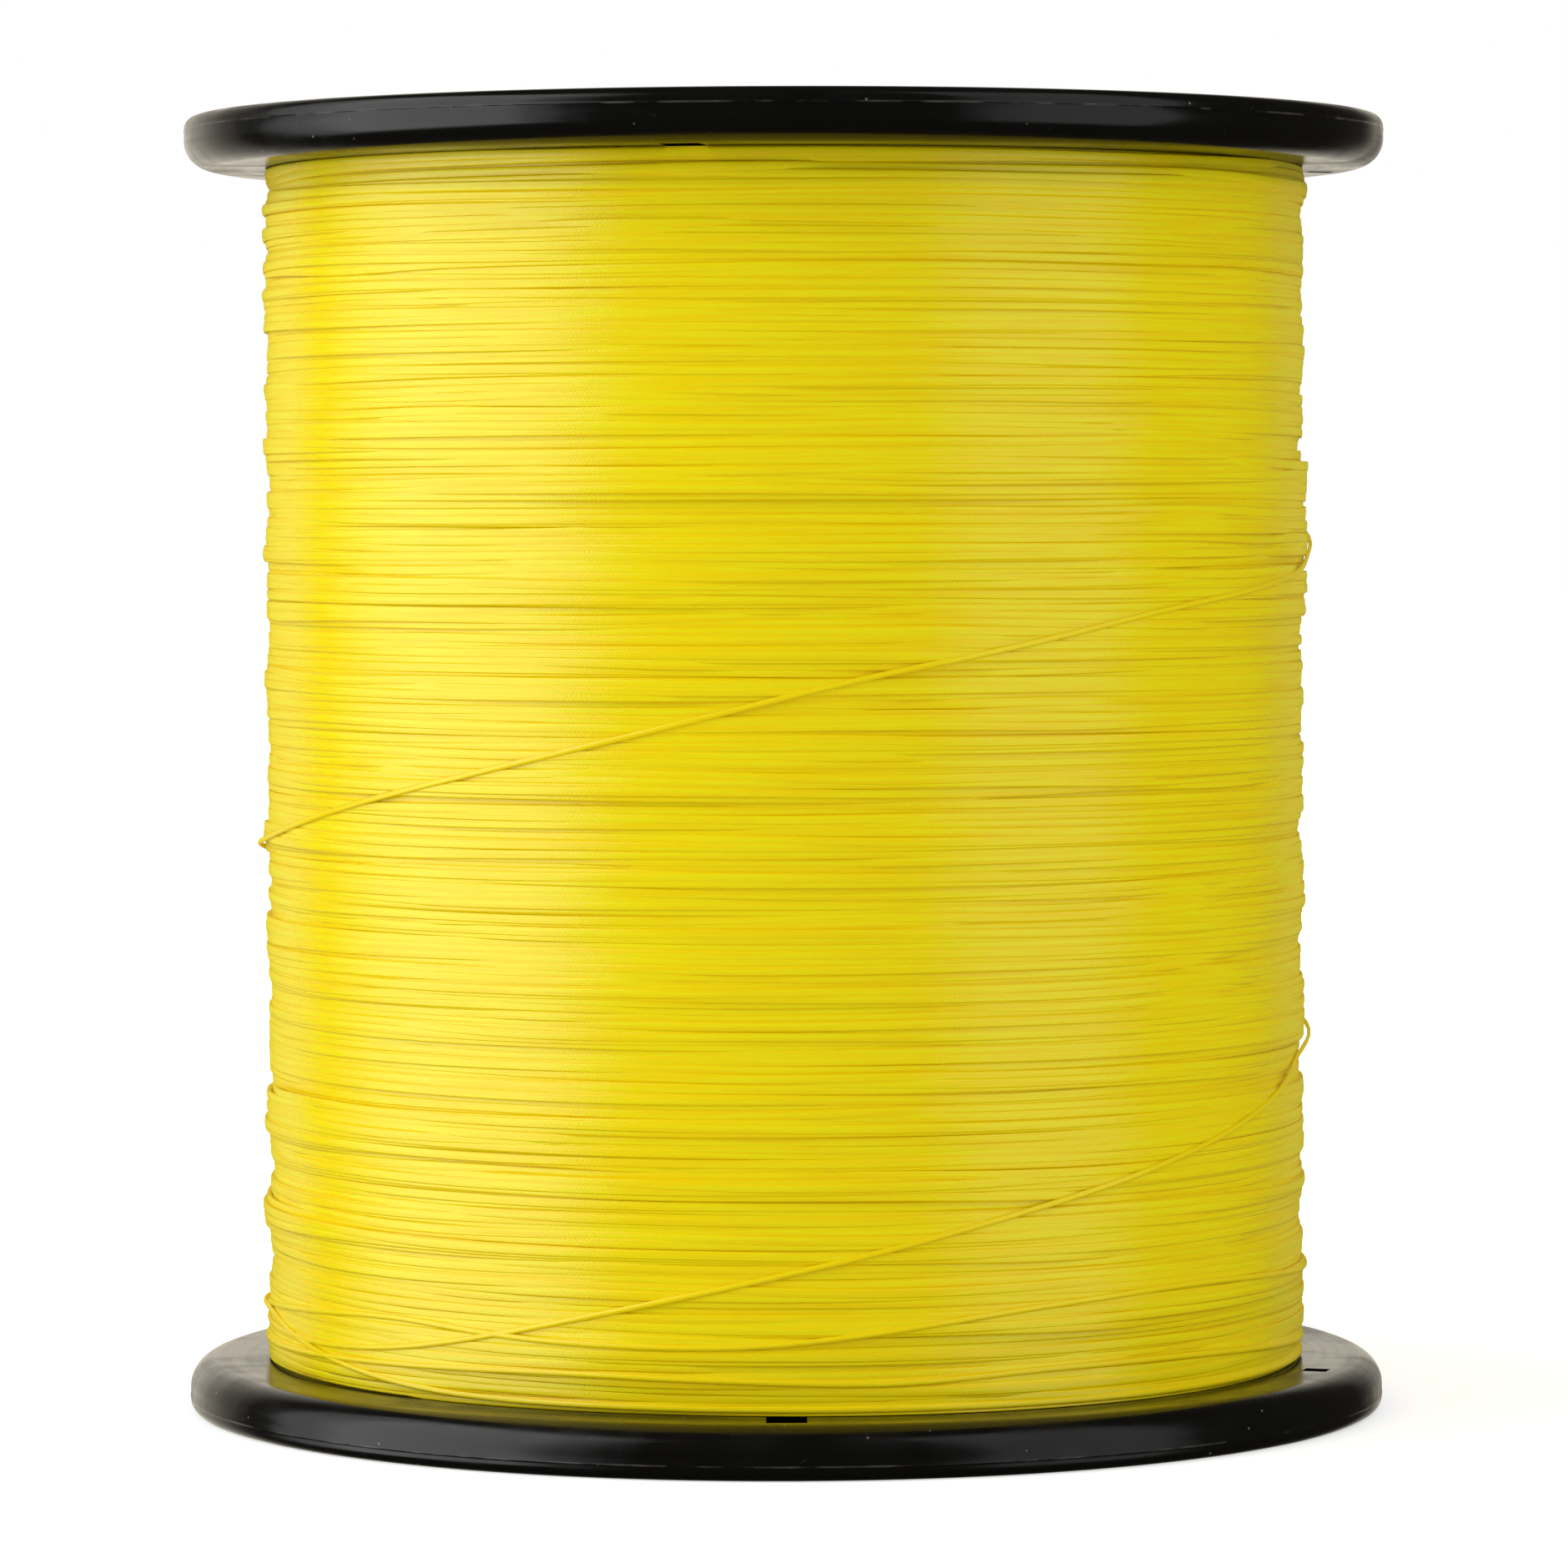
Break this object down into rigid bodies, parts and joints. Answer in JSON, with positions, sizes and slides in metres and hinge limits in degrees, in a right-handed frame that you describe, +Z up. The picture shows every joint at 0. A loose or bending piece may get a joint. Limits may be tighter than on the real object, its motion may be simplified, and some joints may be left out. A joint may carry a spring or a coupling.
{
  "type": "string reel",
  "caption": "Flanged spool wound full of thin racket string, with slots in its flanges for the string's end and a bore for a spindle.",
  "frame": {"origin": "middle of the lower flange's foot, on the spindle axis", "axes": "+Z up along the spindle axis, -Y towards the side that the picture shows"},
  "size_m": [0.125, 0.125, 0.1345],
  "materials": {
    "spool_plastic": "glossy black moulded plastic with fine scuffs",
    "string_yellow": "bright yellow string with a finely braided skin"
  },
  "bodies": {
    "root": {"lower_flange": "spool_plastic", "upper_flange": "spool_plastic", "barrel": "spool_plastic", "string_pack": "string_yellow", "outer_string": "string_yellow"}
  },
  "joints": []
}
